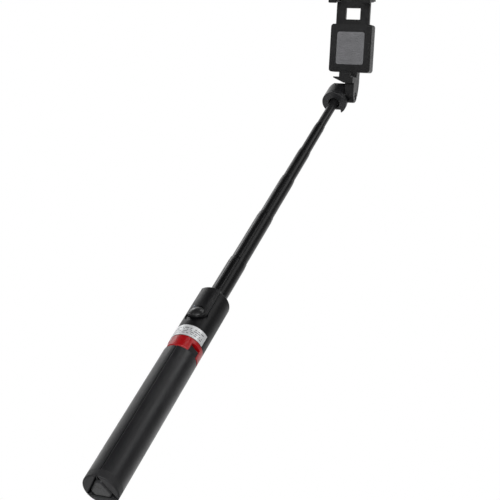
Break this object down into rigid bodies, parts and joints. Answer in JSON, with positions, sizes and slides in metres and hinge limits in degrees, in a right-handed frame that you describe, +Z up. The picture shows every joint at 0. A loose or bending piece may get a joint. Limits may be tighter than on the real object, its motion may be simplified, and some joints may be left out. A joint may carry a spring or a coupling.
{
  "type": "selfie stick",
  "caption": "Telescopic phone stick with a tilting spring clip, a pull-out remote in the collar and a handle that opens into tripod legs.",
  "frame": {"origin": "middle of the flat end face at the bottom of the handle, on the stick's axis", "axes": "+Z up the stick towards the phone clip, -Y the front (shutter button and open side of the phone clip), +X towards the clip's arm"},
  "size_m": [0.0469, 0.1092, 0.6336],
  "materials": {
    "leg_plastic": "satin",
    "foot_rubber": "matte",
    "core_plastic": "semi-gloss",
    "hub_red": "glossy",
    "collar_plastic": "satin",
    "label_film": "satin foil",
    "tube_metal": "gloss black",
    "bush_nylon": "natural",
    "steel": "plain",
    "black_steel": "black zinc",
    "remote_plastic": "satin",
    "button_plastic": "semi-gloss",
    "board_green": "solder mask",
    "light_lens": "clear",
    "head_plastic": "satin",
    "clip_plastic": "satin",
    "pad_rubber": "matte"
  },
  "bodies": {
    "handle": {"hub": "hub_red", "leg_pins": "steel", "hub_screws": "black_steel", "collar_housing": "collar_plastic", "label_band": "label_film"},
    "leg_1": {"leg_shell_1": "leg_plastic", "foot_1": "foot_rubber"},
    "leg_2": {"leg_shell_2": "leg_plastic", "foot_2": "foot_rubber"},
    "leg_3": {"leg_shell_3": "leg_plastic", "foot_3": "foot_rubber"},
    "pole": {"outer_tube": "tube_metal", "core_cap": "core_plastic"},
    "remote": {"remote_shell": "remote_plastic", "remote_base": "remote_plastic", "remote_board": "board_green", "button_cell": "steel", "indicator_light": "light_lens"},
    "shutter": {"shutter_button": "button_plastic"},
    "tube_1": {"tube_1": "tube_metal", "tube_bush_1": "bush_nylon"},
    "tube_2": {"tube_2": "tube_metal", "tube_bush_2": "bush_nylon"},
    "tube_3": {"tube_3": "tube_metal", "tube_bush_3": "bush_nylon"},
    "tube_4": {"tube_4": "tube_metal", "tube_bush_4": "bush_nylon"},
    "tube_5": {"tube_5": "tube_metal", "tube_bush_5": "bush_nylon"},
    "tube_6": {"tube_6": "tube_metal", "tube_bush_6": "bush_nylon", "tube_plug": "bush_nylon", "swivel_screw": "black_steel", "swivel_washer": "steel"},
    "head": {"head_block": "head_plastic", "tilt_screw": "black_steel", "tilt_nut": "steel", "tilt_washer": "steel"},
    "clip": {"clip_frame": "clip_plastic", "clip_cover": "clip_plastic", "cover_screws": "black_steel", "lower_jaw_pad": "pad_rubber", "back_pad": "pad_rubber", "guide_rods": "steel", "jaw_springs": "steel"},
    "upper_jaw": {"upper_jaw": "clip_plastic", "finger_pads": "pad_rubber"}
  },
  "joints": [
    {"name": "leg_1_fold", "type": "hinge", "parent": "handle", "child": "leg_1", "pos_m": [0.01005, -0.0058, 0.151], "axis": [-0.5, -0.866, 0], "range_deg": [0, 65]},
    {"name": "leg_2_fold", "type": "hinge", "parent": "handle", "child": "leg_2", "pos_m": [0, 0.0116, 0.151], "axis": [1, 0, 0], "range_deg": [0, 65]},
    {"name": "leg_3_fold", "type": "hinge", "parent": "handle", "child": "leg_3", "pos_m": [-0.01005, -0.0058, 0.151], "axis": [-0.5, 0.866, 0], "range_deg": [0, 65]},
    {"name": "pole_lift", "type": "slide", "parent": "handle", "child": "pole", "axis": [0, 0, 1], "range_m": [0, 0.133]},
    {"name": "tube_1_slide", "type": "slide", "parent": "pole", "child": "tube_1", "axis": [0, 0, 1], "range_m": [-0.054, 0.134]},
    {"name": "tube_2_slide", "type": "slide", "parent": "tube_1", "child": "tube_2", "axis": [0, 0, 1], "range_m": [-0.068, 0.124]},
    {"name": "tube_3_slide", "type": "slide", "parent": "tube_2", "child": "tube_3", "axis": [0, 0, 1], "range_m": [-0.059, 0.137]},
    {"name": "tube_4_slide", "type": "slide", "parent": "tube_3", "child": "tube_4", "axis": [0, 0, 1], "range_m": [-0.047, 0.152]},
    {"name": "tube_5_slide", "type": "slide", "parent": "tube_4", "child": "tube_5", "axis": [0, 0, 1], "range_m": [-0.046, 0.157]},
    {"name": "tube_6_slide", "type": "slide", "parent": "tube_5", "child": "tube_6", "axis": [0, 0, 1], "range_m": [-0.045, 0.154]},
    {"name": "head_swivel", "type": "hinge", "parent": "tube_6", "child": "head", "pos_m": [0, 0, 0.558], "axis": [0, 0, 1], "continuous": true},
    {"name": "clip_tilt", "type": "hinge", "parent": "head", "child": "clip", "pos_m": [0, 0, 0.5745], "axis": [1, 0, 0], "range_deg": [-149, 31]},
    {"name": "jaw_slide", "type": "slide", "parent": "clip", "child": "upper_jaw", "axis": [0, -0.8572, 0.515], "range_m": [-0.021, 0.013], "deforming": ["jaw_springs"]},
    {"name": "remote_release", "type": "slide", "parent": "handle", "child": "remote", "axis": [0, -1, 0], "range_m": [0, 0.012]},
    {"name": "shutter_press", "type": "slide", "parent": "remote", "child": "shutter", "axis": [0, 1, 0], "range_m": [0, 0.0005], "stiffness_N_per_m": 1500, "springref_m": -0.0004}
  ]
}
